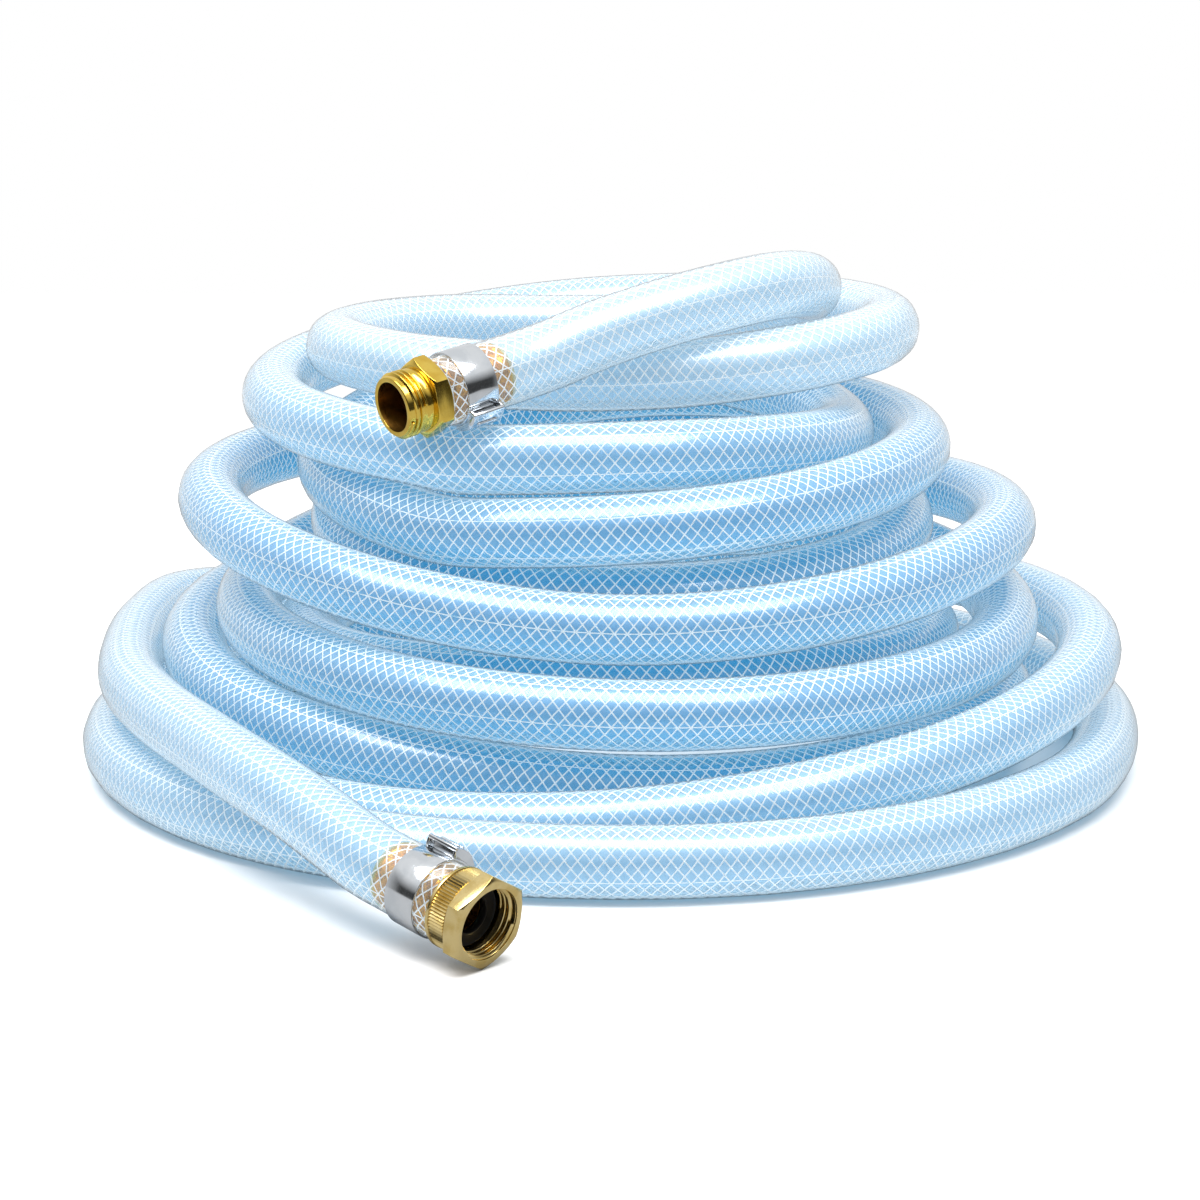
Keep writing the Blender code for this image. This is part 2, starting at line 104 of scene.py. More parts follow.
FEMALE_LEAD = ((-0.118, -0.218, 0.037), (-0.137, -0.194, 0.0415), (-0.162, -0.152, 0.0435),
               (-0.189, -0.100, 0.044), (-0.208, -0.048, 0.044), (-0.216, 0.010, 0.044),
               (-0.216, 0.060, 0.044), (-0.205, 0.125, 0.042), (-0.150, 0.192, 0.030),
               (-0.060, 0.232, 0.016), (0.050, 0.235, 0.015), (0.150, 0.185, 0.015),
               (0.205, 0.100, 0.015))
MALE_MOUTH = (-0.088, -0.136, 0.178)
MALE_HEADING = math.radians(-143.1)
MALE_SLOPE = math.radians(-10.3)
MALE_LENGTH = 0.02004
MALE_LEAD = ((-0.113, 0.052, 0.182), (-0.078, 0.085, 0.181), (-0.030, 0.093, 0.180),
             (0.018, 0.087, 0.182), (0.057, 0.066, 0.190), (0.081, 0.030, 0.201),
             (0.084, -0.010, 0.210), (0.065, -0.048, 0.213), (0.030, -0.071, 0.207),
             (-0.005, -0.084, 0.199))
BARB_LENGTH = 0.032
CLAMP_REACH = 0.017323
ROUTE_STEP = 0.010
PILE_SPAN = 12               # points of the smooth line from one given point to the next
LEAD_SPAN = 24


def heading_vector(heading, slope):
    """Unit vector at an angle about +Z and up from the horizontal."""
    return np.array([math.cos(heading) * math.cos(slope), math.sin(heading) * math.cos(slope),
                     math.sin(slope)])


def straight_end(mouth, direction, fitting_length):
    """Centre points in line from a fitting's mouth to where the hose behind it starts to bend."""
    held = fitting_length + BARB_LENGTH
    depths = (0, fitting_length, held + HOSE_OD / 4, held + HOSE_OD / 2)
    return [mouth - direction * depth for depth in depths]


def smooth_through(points, per_span):
    """Points of a Catmull-Rom curve through the given points."""
    points = np.asarray(points, float)
    around = np.vstack([2 * points[0] - points[1], points, 2 * points[-1] - points[-2]])
    share = np.linspace(0, 1, per_span, endpoint=False)[:, None]
    spans = []
    for i in range(1, len(around) - 2):
        a, b, c, d = around[i - 1:i + 3]
        spans.append(0.5 * (2 * b + (c - a) * share + (2 * a - 5 * b + 4 * c - d) * share ** 2
                            + (3 * b - a - 3 * c + d) * share ** 3))
    return np.vstack(spans + [points[-1:]])


def run_along(points):
    """How far along a path each of its points is."""
    return np.concatenate([[0], np.cumsum(np.linalg.norm(np.diff(points, axis=0), axis=1))])


def evenly(points, step):
    """The same path with points an even distance apart."""
    run = run_along(points)
    at = np.linspace(0, run[-1], int(round(run[-1] / step)) + 1)
    return np.stack([np.interp(at, run, points[:, axis]) for axis in range(3)], axis=1)


def pile_of_turns():
    """The turns' centre line, clockwise seen from above, from the first row's right side."""
    rows = [[t + q / 4, row[q], row[q + 4]] for t, row in enumerate(TURNS) for q in range(4)
            if row[q] is not None]
    turn, radius, height = smooth_through(rows, PILE_SPAN).T
    angle = -2 * math.pi * turn
    return np.stack([radius * np.cos(angle), radius * np.sin(angle), height], axis=1)


def part_strands(path, reach, free, rounds=260, settling=40, strength=0.8, own_reaches=4.4):
    """Push strands apart until no two are nearer than their reaches, and spread each push along."""
    spacing = np.linalg.norm(np.diff(path, axis=0), axis=1).mean()
    along = int(math.ceil(own_reaches * reach.max() / spacing))
    moved = np.zeros_like(path)
    now = path.copy()
    for k in range(rounds):
        if k % 20 == 0:
            squared = ((now[:, None] - now[None]) ** 2).sum(-1)
            first, second = np.nonzero(np.triu(squared < (3 * reach.max()) ** 2, along))
        between = now[first] - now[second]
        distance = np.linalg.norm(between, axis=1)
        short = np.maximum(reach[first] + reach[second] - distance, 0)
        half = between / np.maximum(distance, 1e-9)[:, None] * (strength * short)[:, None]
        push = np.zeros_like(path)
        shared = np.zeros(len(path))
        np.add.at(push, first, half)
        np.add.at(push, second, -half)
        np.add.at(shared, first, short > 0)
        np.add.at(shared, second, short > 0)
        push /= np.maximum(shared, 1)[:, None]
        easing = k < rounds - settling
        for _ in range(3 if easing else 1):
            push[1:-1] = 0.5 * push[1:-1] + 0.25 * (push[:-2] + push[2:])
        moved += push
        if easing:
            moved[1:-1] = 0.5 * moved[1:-1] + 0.25 * (moved[:-2] + moved[2:])
        moved *= free[:, None]
        moved[:, 2] += np.maximum(HOSE_RADIUS + 0.0003 - (path + moved)[:, 2], 0)
        now = path + moved
    return now


def hose_route():
    """Centre line of the hose, from its cut end in the female fitting to that in the male one."""
    female = heading_vector(FEMALE_HEADING, FEMALE_SLOPE)
    male = heading_vector(MALE_HEADING, MALE_SLOPE)
    pile = pile_of_turns()
    first = straight_end(np.array(FEMALE_MOUTH), female, FEMALE_LENGTH)
    last = straight_end(np.array(MALE_MOUTH), male, MALE_LENGTH)
    # each lead shares three points with the pile, and its last span there only gives its direction
    lead_in = smooth_through(first + list(FEMALE_LEAD) + list(pile[[0, 4, 8]]), LEAD_SPAN)
    lead_out = smooth_through(list(pile[[-9, -5, -1]]) + list(MALE_LEAD) + last[::-1], LEAD_SPAN)
    whole = np.vstack([lead_in[:-LEAD_SPAN], pile[5:-5], lead_out[LEAD_SPAN:]])
    path = evenly(whole, ROUTE_STEP)
    run = run_along(path)
    past_female = run - FEMALE_LENGTH
    past_male = run[-1] - run - MALE_LENGTH
    past_clamp = np.minimum(past_female, past_male) - BARB_LENGTH
    wide = CLAMP_REACH - HOSE_RADIUS - STRAND_GAP / 2
    reach = HOSE_RADIUS + STRAND_GAP / 2 + wide * np.clip(1 - past_clamp / HOSE_OD, 0, 1)
    free = np.clip((past_clamp - HOSE_OD / 4) / HOSE_OD, 0, 1)
    path = part_strands(path, reach, free)
    inside = (past_female > 0) & (past_male > 0)
    return np.vstack([first[1], path[inside], last[1]]) + [0, PILE_BACK, 0]


route = hose_route()


# Hose: one extruded length of flexible PVC in two layers that are fused: a blue-tinted tube, which
# carries the braid, and a clear glossy cover over it. The wall is closed by a cut face at each end.
RING_STEP = 0.010
SIDES = 32
TUBE_RADIUS = 0.0131         # of the tinted inner tube, which the braid lies on
TAIL_LENGTH = 0.031          # how far the brass tails fill it
# painted light: the hose's two ends are painted paler, as its most lit turns; these are where they
# fade into the middle, in tenths of a metre from the floor end
FLOOR_END_FADE = (22, 34)
TOP_END_FADE = (92, 100)


def linear(hex_colour):
    """An sRGB hex colour as linear RGBA."""
    channels = [int(hex_colour[i:i + 2], 16) / 255 for i in (1, 3, 5)]
    return [c / 12.92 if c <= 0.04045 else ((c + 0.055) / 1.055) ** 2.4 for c in channels] + [1]


def add_node(material, kind, inputs=(), **settings):
    """Add a node to a material, with its settings and what goes into its sockets."""
    tree = material.node_tree
    made = tree.nodes.new("ShaderNode" + kind)
    for name, value in settings.items():
        setattr(made, name, value)
    for name, value in dict(inputs).items():
        if isinstance(value, bpy.types.NodeSocket):
            tree.links.new(value, made.inputs[name])
        else:
            made.inputs[name].default_value = value
    return made


def new_material(name):
    """An empty node material."""
    made = bpy.data.materials.new(name)
    made.use_nodes = True
    made.node_tree.nodes.clear()
    made.cycles.emission_sampling = "NONE"       # a faint glow in a wall, not a lamp
    return made


def frames_along(line):
    """Two unit vectors across a line at each of its points, turned as little as can be."""
    ahead = np.gradient(line, axis=0)
    ahead /= np.linalg.norm(ahead, axis=1)[:, None]
    across = np.zeros_like(line)
    across[0] = np.cross(ahead[0], (0, 0, 1))
    for i in range(1, len(line)):
        across[i] = across[i - 1] - ahead[i] * (across[i - 1] @ ahead[i])
        across[i] /= np.linalg.norm(across[i])
    across[0] /= np.linalg.norm(across[0])
    return across, np.cross(ahead, across)


def finish_mesh(name, points, faces, material):
    """A mesh object from numpy points and lists of corner numbers."""
    mesh = bpy.data.meshes.new(name)
    mesh.from_pydata(points, [], faces)
    mesh.materials.append(material)
    mesh.polygons.foreach_set("use_smooth", [True] * len(mesh.polygons))
    made = bpy.data.objects.new(name, mesh)
    bpy.context.scene.collection.objects.link(made)
    return made


def skin(first, rings, sides, inward=False):
    """Faces between the rings of a tube whose corners start at a number."""
    corner = np.arange(rings * sides).reshape(rings, sides) + first
    following = np.roll(corner, -1, axis=1)
    quads = np.stack([corner[:-1], following[:-1], following[1:], corner[1:]], axis=-1)
    quads = quads.reshape(-1, 4)
    return (quads[:, ::-1] if inward else quads).tolist()


def pvc_skin(name, colours, tints, veil, roughness, glow=None):
    """One surface of the clear wall: it tints what is behind it, and veils it more towards its rim.

    Colours, tints and the glow are pairs, for the middle of the hose and for its ends, which are
    painted paler as painted light."""
    made = new_material(name)
    along = add_node(made, "UVMap", uv_map="along_hose")
    distance = add_node(made, "SeparateXYZ", {"Vector": along.outputs[0]}).outputs["Y"]
    # painted light: the share of the paler end colours, 0.6 at the floor end and 1 at the top end,
    # none in the middle
    floor_end = add_node(made, "MapRange", {
        "Value": distance, "From Min": FLOOR_END_FADE[0], "From Max": FLOOR_END_FADE[1],
        "To Min": 0.6, "To Max": 0})
    top_end = add_node(made, "MapRange", {
        "Value": distance, "From Min": TOP_END_FADE[0], "From Max": TOP_END_FADE[1]})
    painted_pale_share = add_node(made, "Math", {0: floor_end.outputs[0], 1: top_end.outputs[0]}, operation="ADD")

    def toned(pair):
        mixed = add_node(made, "MixRGB", {
            "Fac": painted_pale_share.outputs[0], "Color1": linear(pair[0]), "Color2": linear(pair[1])})
        return mixed.outputs[0]

    # the haze is patchy: about 1.5 mm round the hose and 25 mm along it
    stretched = add_node(made, "VectorMath", {0: along.outputs[0], 1: (60, 4, 1)},
                         operation="MULTIPLY")
    cloud = add_node(made, "TexNoise", {"Vector": stretched.outputs[0], "Scale": 1, "Detail": 0})
    haze = add_node(made, "MapRange", {
        "Value": cloud.outputs[0], "From Min": 0.3, "From Max": 0.7,
        "To Min": roughness * 0.75, "To Max": roughness * 1.25})
    milky = add_node(made, "BsdfPrincipled", {
        "Base Color": toned(colours), "Roughness": haze.outputs[0]})
    if glow:
        # painted glow: the wall emits a faint blue light of its own, stronger where it faces down,
        # in place of light carried round inside a clear wall
        normal = add_node(made, "NewGeometry").outputs["Normal"]
        facing = add_node(made, "SeparateXYZ", {"Vector": normal})
        painted_underside_glow = add_node(made, "MapRange", {
            "Value": facing.outputs["Z"], "From Min": -0.8, "From Max": 0.3,
            "To Min": 0.8, "To Max": 0.42})
        made.node_tree.links.new(toned(glow), milky.inputs["Emission Color"])
        made.node_tree.links.new(painted_underside_glow.outputs[0], milky.inputs["Emission Strength"])
    clear = add_node(made, "BsdfTransparent", {"Color": toned(tints)})
    rim = add_node(made, "LayerWeight", {"Blend": 0.25})
    share = add_node(made, "MapRange", {
        "Value": rim.outputs["Facing"], "To Min": veil[0], "To Max": veil[1]})
    surface = add_node(made, "MixShader", {
        0: share.outputs[0], 1: clear.outputs[0], 2: milky.outputs[0]})
    add_node(made, "OutputMaterial", {"Surface": surface.outputs[0]})
    return made


def add_gloss(material, roughness):
    """The extruded gloss over a skin: a Fresnel reflection with faint die lines along the hose."""
    along = add_node(material, "UVMap", uv_map="along_hose")
    stretched = add_node(material, "VectorMath", {0: along.outputs[0], 1: (150, 9, 1)},
                         operation="MULTIPLY")
    die_lines = add_node(material, "TexNoise", {
        "Vector": stretched.outputs[0], "Scale": 1, "Detail": 1})
    relief = add_node(material, "Bump", {
        "Height": die_lines.outputs[0], "Strength": 0.25, "Distance": 0.00008})
    mirror = add_node(material, "BsdfAnisotropic", {
        "Roughness": roughness, "Normal": relief.outputs[0]})
    share = add_node(material, "Fresnel", {"IOR": 1.7})
    output = next(n for n in material.node_tree.nodes if n.type == "OUTPUT_MATERIAL")
    under = output.inputs["Surface"].links[0].from_socket
    surface = add_node(material, "MixShader", {
        0: share.outputs[0], 1: under, 2: mirror.outputs[0]})
    material.node_tree.links.new(surface.outputs[0], output.inputs["Surface"])


# the cover: clear, with a light milky veil and a smooth gloss
pvc = pvc_skin("Clear PVC, extruded cover", ("#F2F8FA", "#F6FAFC"), ("#FAFDFF", "#FDFEFF"),
               (0.08, 0.32), 0.3)
add_gloss(pvc, 0.2)
# the tinted tube under the yarns: sky blue, with a painted blue glow in its wall that is stronger
# on its underside
tint = pvc_skin("Blue-tinted PVC, inner tube", ("#74B2CC", "#C4DAE6"), ("#D6F0FC", "#F0F8FC"),
                (0.25, 0.45), 0.35, ("#309EBE", "#98B0C0"))
# the same tube's bore: its two walls together look deeper and milkier, and it has the same painted
# glow
bore_pvc = pvc_skin("Blue-tinted PVC, bore", ("#5CA4C8", "#BCD6E4"), ("#D0EDFC", "#ECF6FC"),
                    (0.6, 0.7), 0.4, ("#309EBE", "#98B0C0"))
# where the tube is stretched tight over a brass tail it is nearly clear and looks warm
wet_pvc = pvc_skin("Clear PVC, pressed on brass", ("#EAD9A4", "#EAD9A4"), ("#FFEEBE", "#FFEEBE"),
                   (0.03, 0.06), 0.3)

line = evenly(route, RING_STEP)
across, over = frames_along(line)


def wall_rings(radius):
    """Corners of the hose's rings at a radius."""
    turn = np.linspace(0, 2 * math.pi, SIDES, endpoint=False)[None, :, None]
    ring = line[:, None] + radius * (np.cos(turn) * across[:, None] + np.sin(turn) * over[:, None])
    return ring.reshape(-1, 3)


def map_along(piece):
    """A UV map: the share of the way round, and the distance along in tenths of a metre."""
    corners = np.empty(len(piece.data.loops), int)
    piece.data.loops.foreach_get("vertex_index", corners)
    share = corners % SIDES / SIDES
    # the last strip of faces ends at a whole turn, and not back at none
    face_sides = np.empty(len(piece.data.polygons), int)
    piece.data.polygons.foreach_get("loop_total", face_sides)
    face = np.repeat(np.arange(len(face_sides)), face_sides)
    furthest = np.zeros(len(face_sides))
    np.maximum.at(furthest, face, share)
    share[(share == 0) & (furthest[face] > 0.9)] = 1
    distance = run_along(line)[corners // SIDES % len(line)] / 0.1
    piece.data.uv_layers.new(name="along_hose")
    piece.data.uv_layers["along_hose"].uv.foreach_set(
        "vector", np.stack([share, distance], 1).ravel())


rings = len(line)
last_ring = (rings - 1) * SIDES
wall = skin(0, rings, SIDES) + skin(rings * SIDES, rings, SIDES, inward=True)
for k in range(SIDES):
    following = (k + 1) % SIDES
    wall.append([following, k, rings * SIDES + k, rings * SIDES + following])
    wall.append([corner + last_ring for corner in reversed(wall[-1])])
corners = np.vstack([wall_rings(HOSE_RADIUS), wall_rings(HOSE_RADIUS - HOSE_WALL)])
hose = finish_mesh("clear_hose", corners, wall, pvc)
hose.data.materials.append(bore_pvc)
skin_faces = (rings - 1) * SIDES
in_bore = [skin_faces <= k < 2 * skin_faces for k in range(len(wall))]
hose.data.polygons.foreach_set("material_index", [int(inside) for inside in in_bore])
hose.data.polygons.foreach_set("use_smooth", [k < 2 * skin_faces for k in range(len(wall))])
map_along(hose)
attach(hose, "hose")
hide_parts("hose")

tube_ends = [list(range(SIDES))[::-1], [last_ring + k for k in range(SIDES)]]
inner_tube = finish_mesh("hose_inner_tube", wall_rings(TUBE_RADIUS),
                         skin(0, rings, SIDES) + tube_ends, tint)
inner_tube.data.materials.append(wet_pvc)
middle_run = (run_along(line)[:-1] + run_along(line)[1:]) / 2
from_end = np.minimum(middle_run, run_along(line)[-1] - middle_run)
on_brass = np.append(np.repeat(from_end < TAIL_LENGTH, SIDES), [True, True])
inner_tube.data.polygons.foreach_set("material_index", on_brass.astype(int))
map_along(inner_tube)
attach(inner_tube, "hose")


# Braid: spun polyester yarns laid between the two layers of the wall before the cover goes on,
# fourteen wound each way and a few straight ones, which keep the hose from swelling.
YARNS_EACH_WAY = 14
YARN_LEAD = 0.067
YARN_STEP = YARN_LEAD / 14
YARN_WIDTH = 0.00062
YARN_DEPTH = 0.0003
YARN_RADIUS = 0.0135
STRAIGHT_YARNS = 5

# white spun yarn: matt and a little fuzzy, with a painted pale blue glow that keeps it bright even
# in the shade
polyester = new_material("White polyester yarn, spun")
twist = add_node(polyester, "TexNoise", {
    "Vector": add_node(polyester, "TexCoord").outputs["Object"], "Scale": 1600, "Detail": 1})
fuzz = add_node(polyester, "MapRange", {"Value": twist.outputs[0], "To Min": 0.35, "To Max": 0.65})
# painted glow: the yarn emits a faint pale blue light of its own
surface = add_node(polyester, "BsdfPrincipled", {
    "Base Color": linear("#FAFCFE"), "Roughness": fuzz.outputs[0],
    "Emission Color": linear("#D6E8F2"), "Emission Strength": 0.42})
add_node(polyester, "OutputMaterial", {"Surface": surface.outputs[0]})


def yarn(angle, lead, radius, width, step):
    """Corners and faces of one yarn in the wall, three-sided with its flat side outwards."""
    total = run_along(route)[-1]
    at = np.linspace(0.0006, total - 0.0006, int(total / step))
    run = run_along(line)
    centre, side, up = (np.stack([np.interp(at, run, v[:, k]) for k in range(3)], axis=1)
                        for v in (line, across, over))
    turn = (angle + (2 * math.pi * at / lead if lead else 0 * at))[:, None]
    out = np.cos(turn) * side + np.sin(turn) * up
    out /= np.linalg.norm(out, axis=1)[:, None]
    middle = centre + radius * out
    ahead = np.gradient(middle, axis=0)
    ahead /= np.linalg.norm(ahead, axis=1)[:, None]
    beside = np.cross(ahead, out)
    corners = [middle + out * YARN_DEPTH / 2 - beside * width / 2,
               middle + out * YARN_DEPTH / 2 + beside * width / 2, middle - out * YARN_DEPTH / 2]
    return np.stack(corners, axis=1).reshape(-1, 3), len(at)


def wind(name, angles, lead, radius, width, step):
    """One layer of yarns as a piece."""
    points, faces = [], []
    for angle in angles:
        corners, rings = yarn(angle, lead, radius, width, step)
        first = sum(len(p) for p in points)
        faces += skin(first, rings, 3)
        faces += [[first + 2, first + 1, first], [first + 3 * rings - 3 + k for k in range(3)]]
        points.append(corners)
    made = finish_mesh(name, np.vstack(points), faces, polyester)
    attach(made, "hose")
    return made


even = np.linspace(0, 2 * math.pi, YARNS_EACH_WAY, endpoint=False)
wind("braid_right_hand", even, YARN_LEAD, YARN_RADIUS, YARN_WIDTH, YARN_STEP)
wind("braid_left_hand", even, -YARN_LEAD, YARN_RADIUS + 0.0004, YARN_WIDTH, YARN_STEP)
wind("braid_straight", np.linspace(0.4, 0.4 + 2 * math.pi, STRAIGHT_YARNS, endpoint=False), None,
     YARN_RADIUS - 0.0005, 0.0005, 0.008)

# Male fitting: an outside thread, a hexagon and a barbed tail, turned and milled from one bar of
# brass and polished. The tail is pushed into the hose, and shows golden through the clear wall.
MALE_BORE = 0.0102
MALE_HEX = (0.0290, 0.0003, 0.0078)              # across its flats, start and end from the cut
THREAD_PITCH = 0.00221                           # 11.5 turns an inch
THREAD_CREST = 0.0135
THREAD_ROOT = 0.0124
THREAD_STEPS = 72                                # faces to a turn
CREST_SHARE = 0.3                                # a thread's width at its crest, beside its foot
TAIL_CREST = 0.0129                              # as the thick clear wall magnifies it
TAIL_ROOT = 0.0124
TAIL_BORE = 0.00685
ROUND = 96                                       # sides of what is turned


def end_frame(cut, inner):
    """Matrix of a hose end: origin at the cut, Z out of the hose along its axis, Y upwards."""
    out = Vector(cut - inner).normalized()
    side = Vector((0, 0, 1)).cross(out).normalized()
    turn = Matrix((side, out.cross(side), out)).transposed()
    return Matrix.Translation(Vector(cut)) @ turn.to_4x4()


def edit(made, action):
    """Take one object into edit mode with all of its mesh selected or not."""
    bpy.ops.object.select_all(action="DESELECT")
    bpy.context.view_layer.objects.active = made
    made.select_set(True)
    bpy.ops.object.mode_set(mode="EDIT")
    bpy.ops.mesh.select_all(action=action)


def pick(made, chosen):
    """Select the corners that a test of their (radius, angle, height) chooses, to edit them."""
    bpy.ops.object.mode_set(mode="OBJECT")
    edit(made, "DESELECT")
    bpy.ops.object.mode_set(mode="OBJECT")
    for corner in made.data.vertices:
        at = corner.co
        corner.select = chosen(at.xy.length, math.atan2(at.y, at.x), at.z)
    bpy.ops.object.mode_set(mode="EDIT")


def turned(name, section, sides=ROUND):
    """A ring turned on the lathe: a circle extruded along a closed section of (radius, height)."""
    bpy.ops.object.select_all(action="DESELECT")
    radius, height = section[0]
    bpy.ops.mesh.primitive_circle_add(vertices=sides, radius=radius)
    made = bpy.context.object
    made.name = name
    edit(made, "SELECT")
    bpy.ops.transform.translate(value=(0, 0, height))
    for next_radius, next_height in section[1:] + section[:1]:
        bpy.ops.mesh.extrude_edges_move(
            TRANSFORM_OT_translate={"value": (0, 0, next_height - height)})
        share = next_radius / radius
        bpy.ops.transform.resize(value=(share, share, 1), center_override=(0, 0, next_height))
        radius, height = next_radius, next_height
    bpy.ops.mesh.select_all(action="SELECT")
    bpy.ops.mesh.remove_doubles(threshold=0.000002)
    bpy.ops.mesh.normals_make_consistent(inside=False)
    bpy.ops.object.mode_set(mode="OBJECT")
    return made


def take_modifier(made, kind, **settings):
    """Add a modifier and apply it."""
    bpy.ops.object.select_all(action="DESELECT")
    bpy.context.view_layer.objects.active = made
    made.select_set(True)
    modifier = made.modifiers.new(kind, kind)
    for name, value in settings.items():
        setattr(modifier, name, value)
    bpy.ops.object.modifier_apply(modifier=modifier.name)


def hex_ring(across, start, end, hole, chamfer=0.0012):
    """A hexagon with a hole, its corners turned off at both ends and one corner down."""
    corner = across / 2 / math.cos(math.pi / 6)
    rim = corner - 2 * chamfer
    drop = chamfer + 0.0005
    bpy.ops.object.select_all(action="DESELECT")
    bpy.ops.mesh.primitive_cylinder_add(vertices=6, radius=corner, depth=end - start,
                                        location=(0, 0, (start + end) / 2))
    made = bpy.context.object
    bpy.ops.object.transform_apply(location=True)
    trim = turned("hex_trim", [(hole, start), (rim, start), (corner + 0.001, start + drop),
                               (corner + 0.001, end - drop), (rim, end), (hole, end)])
    take_modifier(made, "BOOLEAN", object=trim, operation="INTERSECT", solver="EXACT")
    bpy.data.objects.remove(trim)
    return made


def thread_ridge(root, crest, start, end):
    """One helical ridge of the thread, its foot sunk in the metal."""
    foot = 0.42 * THREAD_PITCH
    bpy.ops.object.select_all(action="DESELECT")
    bpy.ops.mesh.primitive_plane_add(size=1)
    made = bpy.context.object
    edit(made, "SELECT")
    bpy.ops.mesh.delete(type="ONLY_FACE")
    bpy.ops.mesh.select_all(action="SELECT")
    bpy.ops.transform.rotate(value=math.pi / 2, orient_axis="X", center_override=(0, 0, 0))
    bpy.ops.transform.resize(value=(abs(crest - root), 1, 2 * foot))
    bpy.ops.transform.translate(value=((root + crest) / 2, 0, start + foot))
    pick(made, lambda radius, angle, height: abs(radius - crest) < 0.00001)
    bpy.ops.transform.resize(value=(1, 1, CREST_SHARE), center_override=(0, 0, start + foot))
    bpy.ops.object.mode_set(mode="OBJECT")
    turns = (end - start - 2 * foot) / THREAD_PITCH
    steps = int(THREAD_STEPS * turns)
    take_modifier(made, "SCREW", axis="Z", angle=2 * math.pi * turns,
                  screw_offset=turns * THREAD_PITCH, steps=steps, render_steps=steps,
                  use_merge_vertices=False)
    edit(made, "SELECT")
    bpy.ops.mesh.fill_holes(sides=0)
    bpy.ops.mesh.select_all(action="SELECT")
    bpy.ops.mesh.normals_make_consistent(inside=False)
    bpy.ops.object.mode_set(mode="OBJECT")
    return made


def barbs(count=5):
    """(radius, height) corners of the barbed tail, from the hose's cut end inwards."""
    pitch = BARB_LENGTH / count
    corners = []
    for k in range(count):
        top = -k * pitch
        corners += [(TAIL_ROOT, top - 0.35 * pitch), (TAIL_CREST, top - 0.45 * pitch),
                    (TAIL_ROOT, top - 0.97 * pitch)]
    return corners


def into_place(name, pieces, frame, material, edge=0.00015, crisp=()):
    """Join pieces, break their sharp edges, add the crisp ones, and set all in an end's frame."""
    for group in (pieces, pieces[:1] + list(crisp)):
        bpy.ops.object.select_all(action="DESELECT")
        for piece in group:
            piece.select_set(True)
        bpy.context.view_layer.objects.active = pieces[0]
        if len(group) > 1:
            bpy.ops.object.join()
        if group is pieces:
            take_modifier(pieces[0], "BEVEL", width=edge, segments=2, limit_method="ANGLE",
                          angle_limit=math.radians(28), use_clamp_overlap=True)
            edit(pieces[0], "SELECT")
            bpy.ops.mesh.remove_doubles(threshold=0.000003)
            bpy.ops.mesh.dissolve_degenerate(threshold=0.000003)
            bpy.ops.object.mode_set(mode="OBJECT")
    made = pieces[0]
    made.name = name
    made.data.materials.clear()
    made.data.materials.append(material)
    made.matrix_world = frame
    bpy.ops.object.transform_apply(location=True, rotation=True, scale=True)
    bpy.ops.object.shade_smooth_by_angle(angle=math.radians(32))
    return made


def refinish(piece, frame, material, chosen):
    """Give another finish to the faces that a test of their (radius, height) chooses."""
    piece.data.materials.append(material)
    back = frame.inverted()
    for face in piece.data.polygons:
        middle = back @ face.center
        if chosen(middle.xy.length, middle.z):
            face.material_index = len(piece.data.materials) - 1


def worked_metal(name, frame, colour, worn, roughness, grain=0.0003, depth=0.00003):
    """Metal with fine tool lines round a hose end's axis, and a slow change of gloss and tone."""
    made = new_material(name)
    place, turn, _ = frame.decompose()
    part = add_node(made, "TexCoord")
    local = add_node(made, "Mapping", {
        "Vector": part.outputs["Object"], "Location": place, "Rotation": turn.to_euler()},
        vector_type="TEXTURE")
    stretched = add_node(made, "VectorMath", {0: local.outputs[0], 1: (60, 60, 1 / grain)},
                         operation="MULTIPLY")
    lines = add_node(made, "TexNoise", {"Vector": stretched.outputs[0], "Scale": 1, "Detail": 3})
    cloud = add_node(made, "TexNoise", {"Vector": local.outputs[0], "Scale": 140, "Detail": 3})
    tone = add_node(made, "ValToRGB", {"Fac": cloud.outputs[0]})
    tone.color_ramp.elements[0].position = 0.38
    tone.color_ramp.elements[0].color = linear(worn)
    tone.color_ramp.elements[1].position = 0.56
    tone.color_ramp.elements[1].color = linear(colour)
    gloss = add_node(made, "MapRange", {
        "Value": lines.outputs[0], "From Min": 0.3, "From Max": 0.7,
        "To Min": roughness * 0.7, "To Max": roughness * 1.4})
    relief = add_node(made, "Bump", {
        "Height": lines.outputs[0], "Strength": 0.4, "Distance": depth})
    surface = add_node(made, "BsdfPrincipled", {
        "Base Color": tone.outputs[0], "Metallic": 1, "Roughness": gloss.outputs[0],
        "Normal": relief.outputs[0]})
    add_node(made, "OutputMaterial", {"Surface": surface.outputs[0]})
    return made


male_frame = end_frame(route[-1], route[-4])
# polished yellow brass: a deep warm mirror, dark where it faces away from the light
bright_brass = worked_metal("Brass, turned and polished", male_frame, "#E8C85E", "#DDB84C", 0.13,
                            depth=0.000006)
# painted shade: unpolished brass made dark inside the bores, where the deep hole lies in shade
bore_shade_brass = worked_metal("Brass, drilled, painted dark as shade", male_frame, "#8A6228", "#5E4318", 0.36)
